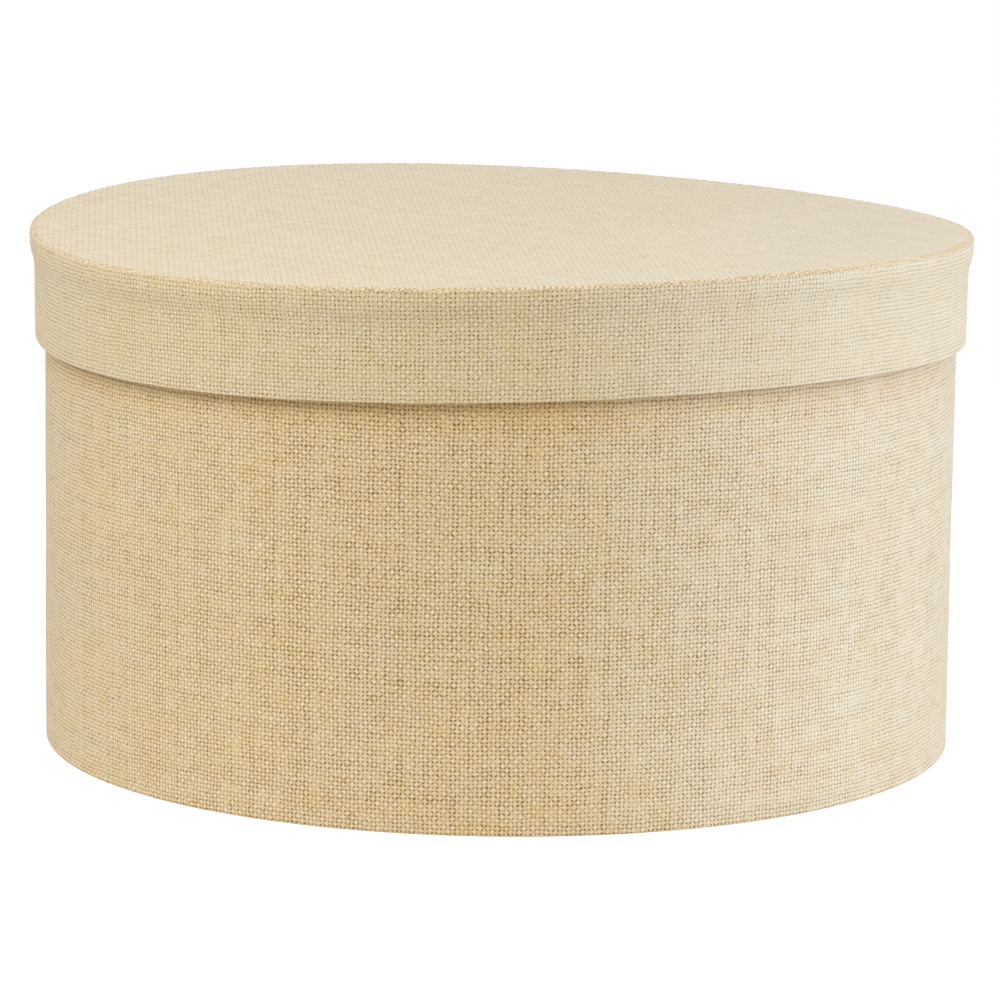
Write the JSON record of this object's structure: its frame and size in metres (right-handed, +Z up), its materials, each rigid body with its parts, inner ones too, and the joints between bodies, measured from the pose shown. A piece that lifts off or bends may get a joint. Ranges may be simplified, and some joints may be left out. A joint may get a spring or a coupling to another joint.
{
  "type": "round storage box",
  "caption": "Round storage box with a lift-off lid: a linen-covered board drum and a deep-rimmed, slightly bowed lid, lined with paper, for keeping small things tidy.",
  "frame": {"origin": "middle of the foot, on the surface the box stands on", "axes": "+Z up along the box's round axis, -Y to the front, +X to the viewer's right"},
  "size_m": [0.33, 0.33, 0.1845],
  "materials": {
    "linen": "coarse plain weave, natural",
    "board": "grey board",
    "lining_paper": "matt lining paper",
    "tape": "gummed kraft tape"
  },
  "bodies": {
    "box": {"wall_board": "board", "wall_joint_tape": "tape", "base_board": "board", "wall_cover": "linen", "base_cover": "lining_paper", "wall_liner": "lining_paper", "floor_liner": "lining_paper"},
    "lid": {"lid_board": "board", "lid_rim_board": "board", "lid_rim_joint_tape": "tape", "lid_top_cover": "linen", "lid_rim_cover": "linen", "lid_rim_liner": "lining_paper", "lid_top_liner": "lining_paper"}
  },
  "joints": [
    {"name": "lid_lift", "type": "slide", "parent": "box", "child": "lid", "axis": [0, 0, 1], "range_m": [0, 0.12]}
  ]
}
